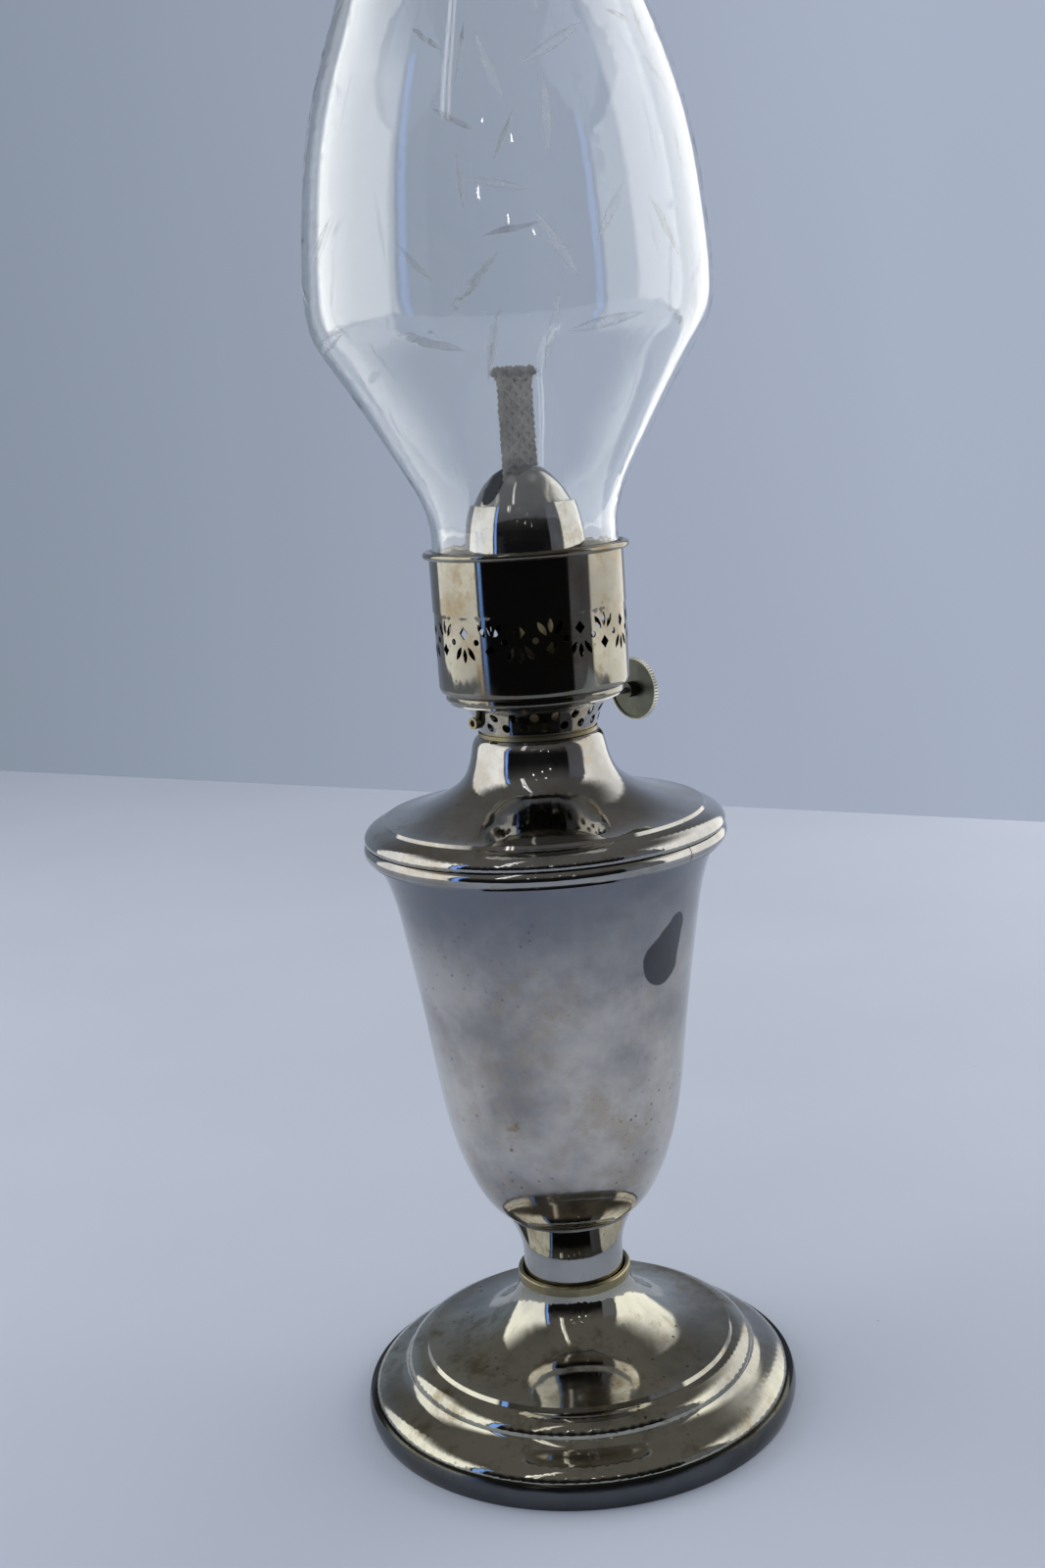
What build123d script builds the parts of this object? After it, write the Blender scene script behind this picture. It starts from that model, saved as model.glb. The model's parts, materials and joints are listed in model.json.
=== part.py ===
"""Silver-plated table oil lamp: stepped foot, urn font, flat-wick burner in a pierced gallery, glass chimney.

Millimetres, +Z up. The origin is the centre of the foot's resting face, and +X points along the wick spindle to
the thumb wheel. Every spun shell is given by the points of its outer face, and its inner face follows by the
sheet's thickness. Each sub-part is written to parts/NODE.step.
"""

import math
import os

from build123d import *

# ---- sheet thicknesses and clearances
body_sheet = 0.9  # foot, urn and shoulder
burner_sheet = 0.5  # basket, gallery, dome and air plate
glass_wall = 1.8
seat_gap = 0.05  # between two faces that rest on each other
slip_gap = 0.3  # between a part and the socket that it drops into
running_gap = 0.05  # radial, spindle in its bearings

# ---- foot
foot_radius = 77.5
foot_band_height = 8.0
foot_band_width = 2.6
foot_step_radius = 62.4  # groove between the lower and upper steps
foot_step_height = 16.8
foot_dish_radius = 54.2  # raised edge of the dish
foot_dish_height = 22.9
foot_neck_radius = 19.9
foot_height = 46.0  # seat of the stem
collar_ring_height = 3.6
collar_ring_wall = 1.9

# ---- stem and its bolted joint
stem_radius = 17.9
stem_lip_radius = 23.0
stem_height = 25.8
stem_wall = 1.0
stem_waist = 0.1  # how much the stem narrows above its foot
plug_thickness = 4.0
stud_radius = 3.0
stud_length = 14.0
stud_hole_gap = 0.6
washer_radius = 13.0
washer_thickness = 1.7
nut_across_flats = 10.0
nut_thickness = 4.8

# ---- urn and shoulder
urn_bottom = foot_height + stem_height - 3.6
urn_waist_radius = 45.2
urn_mouth_radius = 60.3
urn_height = 137.4
urn_flange = 1.7  # turned out under the rim wire
rim_wire_radius = 62.2
rim_wire_width = 3.3
rim_wire_height = 4.6
rim_wire_seam = 0.35  # open butt joint in the wire
rim_wire_seam_angle = 276.0
shoulder_bead_height = 6.4
shoulder_step_radius = 54.6
shoulder_height = 34.2  # from the rim wire to the top of the neck
neck_wall = 3.0  # how much wider the neck is than the hole in its top

# ---- threaded collar on the neck
collar_bore_radius = 16.0
collar_wall = 3.6  # from the bore to the hole in the neck
collar_flange_reach = 0.7
collar_flange_height = 1.3
collar_depth = 9.7

# ---- burner basket and thread ring
thread_ring_wall = 0.8
thread_ring_depth = 9.0
basket_radius = 20.3
basket_top_radius = 27.4
basket_height = 10.3
basket_flange = 1.6
basket_hole_radius = 1.5
basket_hole_count = 20
basket_row_heights = (2.4, 6.0)
floor_thickness = 0.8
floor_vent_radius = 1.2

# ---- gallery cup, air plate and dome
gallery_bottom_hole = 24.5
gallery_lip_inset = 2.0  # how much narrower the lip below the wall is
gallery_lip_height = 2.6
gallery_radius = 32.2
gallery_height = 50.4
gallery_seat_step = 0.3  # how much wider the glass seat is than the wall below it
gallery_rim_bead = 1.25
gallery_rim_reach = 0.8  # how far the rim bead's centre stands outside the wall
seat_height = 29.6  # glass seat above the gallery's bottom
band_height = 22.1  # middle of the pierced band above the gallery's bottom
band_repeats = 10
band_turn = 4.6  # degrees from +X to the first high diamond
diamond_width = 3.8
diamond_height = 4.4
diamond_offset = 2.9  # from the band's middle line to a diamond's centre
middle_petal = (4.9, 1.8)  # length and width of a fan's upright petal
middle_petal_offset = 4.5
side_petal = (5.2, 1.9)
side_petal_offset = (2.8, 3.7)  # along the band and across it
side_petal_lean = 32.0  # degrees
band_dot_radius = 1.05
air_plate_bore = 20.9
air_hole_radius = 1.7
air_hole_count = 20
dome_radius = 21.3
dome_flange = 2.6
dome_step_radius = 17.5
dome_step_height = 35.2
dome_height = 48.0
dome_slot_width = 7.5
dome_slot_length = 32.4

# ---- wick and its tube
wick_width = 16.0
wick_thickness = 2.5
wick_length = 200.0
wick_top = 30.6  # above the dome
wick_gap = 0.6
tube_wall = 0.6
tube_top_below_dome = 8.0
tube_bottom_below_floor = 8.0

# ---- spindle, sprockets and thumb wheel
spindle_radius = 1.1
spindle_above_basket = 3.75
spindle_end_gap = 1.2  # from the spindle's far end to the mouth of its outer bush
sprocket_radius = 4.6
sprocket_teeth = 10
sprocket_tooth_depth = 1.2
sprocket_thickness = 0.8
sprocket_count = 4
sprocket_spacing = 3.6
wheel_distance = 53.8  # lamp axis to the middle of the thumb wheel
wheel_radius = 11.3
wheel_thickness = 1.0
wheel_rim_width = 1.1
wheel_rim_thickness = 1.9
wheel_hub_radius = 2.8
wheel_hub_length = 4.2
wheel_notches = 60
wheel_notch_depth = 0.35
bracket_wall = 0.7
bracket_rise = 3.8  # above the spindle's centre line
bush_radius = 2.0
bush_length = 5.2

# ---- glass chimney
fitter_height = 19.3
bulge_radius = 66.1
bulge_height = 104.0
chimney_mouth_radius = 33.0
chimney_height = 254.0

# ---- heights that follow from the stack, lowest first
stem_base = foot_height + seat_gap
stem_top = stem_base + stem_height
urn_mouth = urn_bottom + urn_height
wire_base = urn_mouth + seat_gap
shoulder_base = wire_base + rim_wire_height + seat_gap
neck_top = shoulder_base + shoulder_height
collar_base = neck_top + seat_gap
burner_base = collar_base + collar_flange_height + seat_gap  # underside of the burner's flange
basket_base = burner_base + thread_ring_wall + seat_gap
gallery_base = basket_base + basket_height + seat_gap
spindle_z = basket_base + spindle_above_basket
air_plate_top = gallery_base + seat_height
dome_base = air_plate_top + seat_gap
dome_step_z = air_plate_top + dome_step_height
dome_top = air_plate_top + dome_height
glass_base = air_plate_top + seat_gap
rim_z = gallery_base + gallery_height - gallery_rim_bead

# ---- sizes that follow from a neighbour
band_inner_radius = foot_radius - foot_band_width
neck_hole_radius = collar_bore_radius + collar_wall
neck_radius = neck_hole_radius + neck_wall
collar_flange_radius = neck_hole_radius + collar_flange_reach
thread_ring_radius = collar_bore_radius - slip_gap
tube_inner_width = wick_width + 2 * wick_gap
tube_inner_thickness = wick_thickness + 2 * wick_gap
tube_outer_width = tube_inner_width + 2 * tube_wall
tube_outer_thickness = tube_inner_thickness + 2 * tube_wall
spindle_y = wick_thickness / 2 + 3 * running_gap + sprocket_radius
bush_start = math.sqrt(basket_radius**2 - spindle_y**2) - 0.8  # inner end, just inside the basket
bush_end = bush_start + bush_length
bearing_bore = spindle_radius + running_gap
gallery_inner = gallery_radius - burner_sheet
gallery_lip_radius = gallery_radius - gallery_lip_inset
fitter_radius = gallery_inner - slip_gap  # the glass stands inside the gallery
wick_z = dome_top + wick_top  # the wick's upper end


# ---- profile tools
def unit(vector):
    length = math.hypot(*vector)
    return (vector[0] / length, vector[1] / length)


def curve(points):
    """The edge through a run of (radius, height) points: a line for two, a smooth curve for more."""
    placed = [(r, 0, z) for r, z in points]
    return Line(*placed) if len(placed) == 2 else Spline(*placed)


def direction(edge, at):
    tangent = edge.tangent_at(at)
    return unit((tangent.X, tangent.Z))


def skin(runs, thickness):
    """A revolved shell, from runs of points on its outer face, given so that the metal lies to their right."""
    outer = [curve(run) for run in runs]
    inner_runs = []
    for number, (run, edge) in enumerate(zip(runs, outer)):
        inner = []
        for place, (r, z) in enumerate(run):
            if 0 < place < len(run) - 1:
                before = after = direction(edge, edge.param_at_point((r, 0, z)))
            else:
                at_start = place == 0
                before = after = direction(edge, 0 if at_start else 1)
                if at_start and number > 0:
                    before = direction(outer[number - 1], 1)
                if not at_start and number < len(runs) - 1:
                    after = direction(outer[number + 1], 0)
            normals = [(t[1], -t[0]) for t in (before, after)]
            share = thickness / (1 + normals[0][0] * normals[1][0] + normals[0][1] * normals[1][1])
            inner.append(
                (
                    max(0.0, r + share * (normals[0][0] + normals[1][0])),
                    z + share * (normals[0][1] + normals[1][1]),
                )
            )
        inner_runs.append(inner)
    inner_edges = [curve(run) for run in inner_runs]
    caps = [curve([inner_runs[0][0], runs[0][0]]), curve([runs[-1][-1], inner_runs[-1][-1]])]
    face = make_face([caps[0], *outer, caps[1], *inner_edges])
    return revolve(face, Axis.Z)


def turned(points):
    """A solid of revolution from a closed outline of (radius, height) corners."""
    return revolve(make_face(Polyline(*[(r, 0, z) for r, z in points], close=True)), Axis.Z)


def ring(inner, outer, low, high):
    return turned([(inner, low), (outer, low), (outer, high), (inner, high)])


def rod(radius, start, end, y, z):
    """A round bar along X."""
    plane = Plane(origin=(start, y, z), x_dir=(0, 1, 0), z_dir=(1, 0, 0))
    return extrude(plane * Circle(radius), end - start)


def toothed(radius, depth, teeth, bore, start, thickness, y, z):
    """A thin wheel on an X axis with pointed teeth all round."""
    corners = []
    for tooth in range(teeth):
        for part, reach in ((0.0, radius), (0.5, radius - depth)):
            angle = 2 * math.pi * (tooth + part) / teeth
            corners.append((reach * math.cos(angle), reach * math.sin(angle)))
    plane = Plane(origin=(start, y, z), x_dir=(0, 1, 0), z_dir=(1, 0, 0))
    return extrude(plane * (Polygon(*corners, align=None) - Circle(bore)), thickness)


def block(low, high):
    size = [b - a for a, b in zip(low, high)]
    middle = [(a + b) / 2 for a, b in zip(low, high)]
    return Pos(*middle) * Box(*size)


# ---- foot
def foot_shell():
    skirt = band_inner_radius - seat_gap
    step_r, step_z = foot_step_radius, foot_step_height
    dish_r, dish_z = foot_dish_radius, foot_dish_height
    lower = [
        (skirt, foot_band_height - 0.6),
        (skirt - 0.9, foot_band_height + 2.2),
        (skirt - 4.2, foot_band_height + 4.6),
        (step_r + 4.6, step_z - 3.0),
        (step_r + 1.4, step_z - 1.6),
        (step_r, step_z),
    ]
    upper = [
        (step_r, step_z),
        (step_r - 1.0, step_z + 3.0),
        (step_r - 3.6, step_z + 4.9),
        (dish_r + 1.2, dish_z - 0.4),
    ]
    edge = [(dish_r + 1.2, dish_z - 0.4), (dish_r + 0.4, dish_z + 1.0)]
    lip = [(dish_r + 0.4, dish_z + 1.0), (dish_r - 1.6, dish_z + 1.1)]
    dish = [
        (dish_r - 1.6, dish_z + 1.1),
        (dish_r * 0.5 + foot_neck_radius * 0.5 + 5.6, dish_z + 2.6),
        (foot_neck_radius + 14.4, dish_z + 5.6),
        (foot_neck_radius + 8.0, dish_z + 9.8),
        (foot_neck_radius + 3.6, dish_z + 14.0),
        (foot_neck_radius + 1.0, dish_z + 18.4),
        (foot_neck_radius, foot_height),
    ]
    seat = [(foot_neck_radius, foot_height), (stud_radius + stud_hole_gap, foot_height)]
    skirt_line = [(skirt, 1.0), (skirt, foot_band_height - 0.6)]
    # the outer face runs upwards and inwards, so the metal lies to its left: the runs are given in reverse
    runs = [skirt_line, lower, upper, edge, lip, dish, seat]
    return skin([run[::-1] for run in runs[::-1]], body_sheet)


def foot_rim_band():
    """The heavy band soldered round the foot's edge, which the lamp stands on."""
    inner, low_edge = band_inner_radius, foot_radius - 0.9
    outline = [
        Line((inner, 0, 0), (low_edge, 0, 0)),
        ThreePointArc(
            (low_edge, 0, 0), (foot_radius, 0, foot_band_height / 2), (low_edge + 0.1, 0, foot_band_height)
        ),
        Line((low_edge + 0.1, 0, foot_band_height), (inner, 0, foot_band_height - 0.7)),
        Line((inner, 0, foot_band_height - 0.7), (inner, 0, 0)),
    ]
    return revolve(make_face(outline), Axis.Z)


def foot_collar_ring():
    """A ring on the foot's neck that the stem stands in."""
    outer = foot_neck_radius + 0.3
    inner = outer - collar_ring_wall
    base = foot_height + seat_gap
    top = base + collar_ring_height
    outline = [
        Line((inner, 0, base), (outer, 0, base)),
        Line((outer, 0, base), (outer, 0, top - collar_ring_wall / 2)),
        ThreePointArc(
            (outer, 0, top - collar_ring_wall / 2),
            ((outer + inner) / 2, 0, top),
            (inner, 0, top - collar_ring_wall / 2),
        ),
        Line((inner, 0, top - collar_ring_wall / 2), (inner, 0, base)),
    ]
    return revolve(make_face(outline), Axis.Z)


# ---- stem
def stem_spool():
    flare = [
        (stem_radius, stem_base),
        (stem_radius - stem_waist, stem_base + stem_height * 0.32),
        (stem_radius + 0.4, stem_base + stem_height * 0.56),
        (stem_radius + 2.2, stem_base + stem_height * 0.78),
        (stem_lip_radius, stem_top),
    ]
    wall = urn_wall()
    middle_top = (0, wall[-1][1])
    urn_outline = [curve(wall), curve([wall[-1], middle_top]), curve([middle_top, wall[0]])]
    return skin([flare[::-1]], stem_wall) - Pos(0, 0, -seat_gap) * revolve(make_face(urn_outline), Axis.Z)


def stem_plug():
    """The disc soldered into the stem's foot, with the stud that the nut pulls on."""
    radius = stem_radius - stem_waist - stem_wall - 2 * seat_gap
    disc = Pos(0, 0, stem_base + plug_thickness / 2) * Cylinder(radius, plug_thickness)
    stud = Pos(0, 0, stem_base - stud_length / 2) * Cylinder(stud_radius, stud_length)
    return disc + stud


def tie_washer():
    top = foot_height - body_sheet - seat_gap
    return ring(stud_radius + seat_gap, washer_radius, top - washer_thickness, top)


def tie_nut():
    top = foot_height - body_sheet - 2 * seat_gap - washer_thickness
    hexagon = RegularPolygon(nut_across_flats / 2, 6, major_radius=False) - Circle(stud_radius + seat_gap)
    return Pos(0, 0, top - nut_thickness) * extrude(hexagon, nut_thickness)


# ---- urn and shoulder
def urn_wall():
    """The urn's outer face, from the middle of its bottom up to the flange."""
    base = urn_bottom
    joint = stem_lip_radius
    return [
        (0, base),
        (joint - 12.0, base + 0.7),
        (joint - 4.6, base + 2.4),
        (joint + 0.9, base + 4.9),
        (joint + 4.6, base + 8.3),
        (urn_waist_radius - 11.8, base + 17.8),
        (urn_waist_radius - 5.4, base + 36.8),
        (urn_waist_radius, base + urn_height * 0.53),
        (urn_waist_radius + 5.4, base + urn_height * 0.79),
        (urn_mouth_radius - urn_flange - 2.6, base + urn_height - 6.2),
        (urn_mouth_radius - urn_flange, base + urn_height - body_sheet),
    ]


def urn_shell():
    wall = urn_wall()
    flange = [wall[-1], (urn_mouth_radius, wall[-1][1])]
    return skin([flange[::-1], wall[::-1]], body_sheet)


def rim_wire():
    """The wire soldered round the urn's mouth; its ends almost meet at a butt joint."""
    inner, outer = rim_wire_radius - rim_wire_width, rim_wire_radius
    low, high = wire_base, wire_base + rim_wire_height
    outline = [
        Line((inner, 0, low), (outer - 1.0, 0, low)),
        ThreePointArc((outer - 1.0, 0, low), (outer, 0, (low + high) / 2), (outer - 1.0, 0, high)),
        Line((outer - 1.0, 0, high), (inner, 0, high)),
        Line((inner, 0, high), (inner, 0, low)),
    ]
    whole = revolve(make_face(outline), Axis.Z)
    seam = Rot(0, 0, rim_wire_seam_angle) * block(
        (inner - 1, -rim_wire_seam / 2, low - 1), (outer + 1, rim_wire_seam / 2, high + 1)
    )
    return whole - seam


def shoulder_cover():
    base = shoulder_base
    step_z = base + shoulder_bead_height
    edge = rim_wire_radius - 1.6
    foot = [(edge - 1.4, base), (edge, base)]
    bead = [
        (edge, base),
        (edge + 1.2, base + 1.4),
        (edge + 0.5, base + 3.4),
        (edge - 1.8, base + 5.2),
        (shoulder_step_radius + 0.9, step_z),
    ]
    riser = [(shoulder_step_radius + 0.9, step_z), (shoulder_step_radius + 0.2, step_z + 1.1)]
    lip = [(shoulder_step_radius + 0.2, step_z + 1.1), (shoulder_step_radius - 0.9, step_z + 1.2)]
    slope = [
        (shoulder_step_radius - 0.9, step_z + 1.2),
        (shoulder_step_radius - 13.0, step_z + 4.2),
        (neck_radius + 12.2, step_z + 7.2),
        (neck_radius + 7.0, step_z + 10.3),
        (neck_radius + 3.7, step_z + 13.5),
        (neck_radius + 1.7, step_z + 17.5),
        (neck_radius + 0.6, step_z + 21.5),
        (neck_radius - 0.2, neck_top - 2.7),
        (neck_radius - 1.5, neck_top - 0.5),
        (neck_hole_radius, neck_top),
    ]
    return skin([run[::-1] for run in (foot, bead, riser, lip, slope)[::-1]], body_sheet)


def font_collar():
    """The threaded brass collar that the burner screws into."""
    outer = neck_hole_radius - slip_gap
    low, high = collar_base - collar_depth, collar_base + collar_flange_height
    return turned(
        [
            (collar_bore_radius, low),
            (outer, low),
            (outer, collar_base),
            (collar_flange_radius, collar_base),
            (collar_flange_radius, high),
            (collar_bore_radius, high),
        ]
    )


# ---- burner
def burner_thread_ring():
    outer, inner = thread_ring_radius, thread_ring_radius - thread_ring_wall
    low, high = burner_base - thread_ring_depth, burner_base + thread_ring_wall
    flange = basket_radius - 0.6
    skirt = [(inner, low), (outer, low), (outer, burner_base)]
    return turned([*skirt, (flange, burner_base), (flange, high), (inner, high)])


def tube_outline(width, thickness):
    return RectangleRounded(width, thickness, thickness / 2 - 0.05)


def burner_floor():
    """The plate across the thread ring, with the wick tube's slot and a vent."""
    low = burner_base - thread_ring_depth + 1.0
    plate = Circle(thread_ring_radius - thread_ring_wall - seat_gap) - tube_outline(
        tube_outer_width + 2 * seat_gap, tube_outer_thickness + 2 * seat_gap
    )
    plate -= Pos(0, -(tube_outer_thickness / 2 + 4.5)) * Circle(floor_vent_radius)
    return Pos(0, 0, low) * extrude(plate, floor_thickness)


def burner_basket():
    base = basket_base
    rise = basket_height - burner_sheet
    flare = [
        (basket_radius, base),
        (basket_radius + 1.3, base + rise * 0.36),
        (basket_radius + 3.4, base + rise * 0.74),
        (basket_top_radius, base + rise),
    ]
    floor = [(thread_ring_radius, base), (basket_radius, base)]
    flange = [(basket_top_radius, base + rise), (basket_top_radius + basket_flange, base + rise)]
    shell = skin([run[::-1] for run in (floor, flare, flange)[::-1]], burner_sheet)
    near_bush = math.degrees(math.asin(spindle_y / basket_radius))
    keep_clear = math.degrees((bush_radius + basket_hole_radius + 0.8) / basket_radius)
    pitch = 360 / basket_hole_count
    reach = basket_top_radius + 5
    holes = [rod(bush_radius + seat_gap, -reach, reach, spindle_y, spindle_z)]
    for row, height in enumerate(basket_row_heights):
        for number in range(basket_hole_count):
            angle = pitch * (number + row / 2)
            from_bushes = [abs((angle - bush + 180) % 360 - 180) for bush in (near_bush, 180 - near_bush)]
            if min(from_bushes) > keep_clear:
                hole = rod(basket_hole_radius, basket_radius - 4, reach, 0, base + height)
                holes.append(Rot(0, 0, angle) * hole)
    return shell - holes


def pierced_shape(outline, height, angle):
    """One cut-out of the band, as a prism that runs outwards through the gallery's wall."""
    plane = Plane(origin=(gallery_inner - 3, 0, height), x_dir=(0, 1, 0), z_dir=(1, 0, 0))
    return Rot(0, 0, angle) * extrude(plane * outline, burner_sheet + 7)


def petal(length, width):
    """A pointed leaf outline, upright."""
    tip, side = length / 2, width / 2
    return make_face(
        [
            ThreePointArc((0, -tip), (side, 0), (0, tip)),
            ThreePointArc((0, tip), (-side, 0), (0, -tip)),
        ]
    )


def pierced_band():
    """The gallery's fretwork: diamonds by turns high and low, each over or under a fan of three petals."""
    middle = gallery_base + band_height
    half_pitch = 180 / band_repeats
    wide, high = diamond_width / 2, diamond_height / 2
    diamond = Polygon((0, -high), (wide, 0), (0, high), (-wide, 0), align=None)
    shapes = []
    for number in range(2 * band_repeats):
        side = 1 if number % 2 == 0 else -1
        angle = band_turn + number * half_pitch
        shapes.append(pierced_shape(diamond, middle + side * diamond_offset, angle))
        shapes.append(pierced_shape(petal(*middle_petal), middle - side * middle_petal_offset, angle))
        for turn in (-1, 1):
            place = Pos(turn * side_petal_offset[0], -side * side_petal_offset[1])
            leaf = place * (Rot(0, 0, side * turn * side_petal_lean) * petal(*side_petal))
            shapes.append(pierced_shape(leaf, middle, angle))
        shapes.append(pierced_shape(Circle(band_dot_radius), middle, angle + half_pitch / 2))
    return shapes


def gallery_cup():
    base = gallery_base
    upper = gallery_radius + gallery_seat_step
    lip_top = base + gallery_lip_height
    turn_in = [(gallery_bottom_hole, base), (gallery_lip_radius - 1.2, base)]
    roll = [
        (gallery_lip_radius - 1.2, base),
        (gallery_lip_radius - 0.3, base + 0.4),
        (gallery_lip_radius, base + 1.3),
    ]
    lip = [(gallery_lip_radius, base + 1.3), (gallery_lip_radius, lip_top)]
    ledge = [(gallery_lip_radius, lip_top), (gallery_radius - 0.5, lip_top + 1.0)]
    corner = [(gallery_radius - 0.5, lip_top + 1.0), (gallery_radius, lip_top + 2.6)]
    wall = [(gallery_radius, lip_top + 2.6), (gallery_radius, air_plate_top + 0.2)]
    step = [(gallery_radius, air_plate_top + 0.2), (upper, air_plate_top + 1.2)]
    seat = [(upper, air_plate_top + 1.2), (upper, rim_z)]
    runs = (turn_in, roll, lip, ledge, corner, wall, step, seat)
    cup = skin([run[::-1] for run in runs[::-1]], burner_sheet)
    bead_centre = upper + gallery_rim_reach
    bead = revolve(Plane.XZ * (Pos(bead_centre, rim_z) * Circle(gallery_rim_bead)), Axis.Z)
    return cup + bead - pierced_band()


def air_plate():
    """The pierced shelf across the gallery that the chimney and the dome stand on."""
    low = air_plate_top - burner_sheet
    plate = ring(air_plate_bore, gallery_inner - 2 * seat_gap, low, air_plate_top)
    middle = (dome_radius + dome_flange + gallery_inner - glass_wall) / 2 + 0.1
    holes = [
        Rot(0, 0, 360 * number / air_hole_count) * Pos(middle, 0, low) * Cylinder(air_hole_radius, 4)
        for number in range(air_hole_count)
    ]
    return plate - holes


def dome():
    """The flame spreader over the wick tube, with a long slot for the flame."""
    base = dome_base
    flange = [(dome_radius + dome_flange, base + burner_sheet), (dome_radius + 0.3, base + burner_sheet)]
    cone = [
        (dome_radius + 0.3, base + burner_sheet),
        (dome_radius - 0.3, base + 10.5),
        (dome_radius - 1.0, base + 19.5),
        (dome_radius - 1.9, base + 27.5),
        (dome_step_radius, dome_step_z),
    ]
    cap_edge = (dome_step_radius - 1.2, dome_step_z + 0.2)
    step = [(dome_step_radius, dome_step_z), cap_edge]
    rise = dome_top - dome_step_z
    cap = [
        cap_edge,
        (dome_step_radius - 4.3, dome_step_z + rise * 0.41),
        (dome_step_radius - 7.1, dome_step_z + rise * 0.68),
        (dome_step_radius - 10.2, dome_step_z + rise * 0.85),
        (0, dome_top),
    ]
    shell = skin([run[::-1] for run in (flange, cone, step, cap)[::-1]], burner_sheet)
    slot = Pos(0, 0, dome_step_z + 0.6) * extrude(SlotOverall(dome_slot_length, dome_slot_width), 2 * rise)
    return shell - slot


def wick_tube():
    low = burner_base - thread_ring_depth - tube_bottom_below_floor
    high = dome_top - tube_top_below_dome
    tube = tube_outline(tube_outer_width, tube_outer_thickness)
    tube -= tube_outline(tube_inner_width, tube_inner_thickness)
    window = block(
        (-wick_width / 2 + 0.8, 0, spindle_z - sprocket_radius - 0.7),
        (wick_width / 2 - 0.8, tube_outer_thickness, spindle_z + sprocket_radius + 0.7),
    )
    return Pos(0, 0, low) * extrude(tube, high - low) - window


def spindle_bracket():
    """The U-shaped bearing on the wick tube, round the sprockets."""
    near = tube_outer_thickness / 2 + seat_gap
    far = spindle_y + sprocket_radius + 0.4
    inner = tube_outer_width / 2 - 0.2
    low, high = basket_base + burner_sheet + seat_gap, spindle_z + bracket_rise
    outer = block((-inner - bracket_wall, near, low), (inner + bracket_wall, far + bracket_wall, high))
    hollow = block((-inner, near - 1, low - 1), (inner, far, high + 1))
    return outer - hollow - rod(bearing_bore, -inner - 2, inner + 2, spindle_y, spindle_z)


def spindle_bush(side):
    """One of the two short sleeves that carry the spindle through the basket's wall."""
    low, high = sorted((side * bush_start, side * bush_end))
    sleeve = rod(bush_radius, low, high, spindle_y, spindle_z)
    return sleeve - rod(bearing_bore, low - 1, high + 1, spindle_y, spindle_z)


# ---- spindle
def wick_spindle():
    end = wheel_distance + wheel_rim_thickness / 2 + 0.3
    bar = rod(spindle_radius, spindle_end_gap - bush_end, end, spindle_y, spindle_z)
    head = rod(spindle_radius + 0.8, end, end + 0.7, spindle_y, spindle_z)
    bracket_outside = tube_outer_width / 2 - 0.2 + bracket_wall
    collars = [
        rod(spindle_radius + 0.7, start, start + 1.0, spindle_y, spindle_z)
        for start in (-bracket_outside - slip_gap - 1.0, bracket_outside + slip_gap)
    ]
    return bar + head + collars


def wick_sprocket(number):
    middle = (number - (sprocket_count - 1) / 2) * sprocket_spacing
    start = middle - sprocket_thickness / 2
    return toothed(
        sprocket_radius,
        sprocket_tooth_depth,
        sprocket_teeth,
        spindle_radius,
        start,
        sprocket_thickness,
        spindle_y,
        spindle_z,
    )


def thumb_wheel():
    """The milled brass wheel: a thin web, a thicker rim and a hub towards the lamp."""
    y, z = spindle_y, spindle_z
    web = rod(wheel_radius - wheel_rim_width / 2, -wheel_thickness / 2, wheel_thickness / 2, y, z)
    rim = toothed(
        wheel_radius,
        wheel_notch_depth,
        wheel_notches,
        wheel_radius - wheel_rim_width,
        -wheel_rim_thickness / 2,
        wheel_rim_thickness,
        y,
        z,
    )
    hub = rod(wheel_hub_radius, -wheel_hub_length, wheel_thickness / 2 + 0.2, y, z)
    bore = rod(spindle_radius, -wheel_hub_length - 1, wheel_rim_thickness, y, z)
    return Pos(wheel_distance, 0, 0) * (web + rim + hub - bore)


# ---- wick and chimney
def wick():
    strip = RectangleRounded(wick_width, wick_thickness, wick_thickness / 2 - 0.2)
    return Pos(0, 0, wick_z - wick_length) * extrude(strip, wick_length)


def chimney():
    base = glass_base
    fitter = [(fitter_radius, base), (fitter_radius, base + fitter_height)]
    belly = [
        (fitter_radius, base + fitter_height),
        (fitter_radius + 2.0, base + fitter_height + 17.4),
        (fitter_radius + 9.3, base + fitter_height + 31.4),
        (fitter_radius + 18.1, base + fitter_height + 46.8),
        (bulge_radius - 6.9, base + bulge_height - 22.3),
        (bulge_radius - 1.3, base + bulge_height - 11.8),
        (bulge_radius, base + bulge_height),
        (bulge_radius - 1.4, base + bulge_height + 21.2),
        (bulge_radius - 4.2, base + bulge_height + 42.6),
        (bulge_radius - 9.8, base + bulge_height + 65.0),
        (chimney_mouth_radius + 16.1, base + chimney_height - 65.0),
        (chimney_mouth_radius + 8.6, base + chimney_height - 43.0),
        (chimney_mouth_radius + 3.2, base + chimney_height - 23.0),
        (chimney_mouth_radius + 0.6, base + chimney_height - 9.0),
        (chimney_mouth_radius, base + chimney_height),
    ]
    return skin([belly[::-1], fitter[::-1]], glass_wall)


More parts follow.
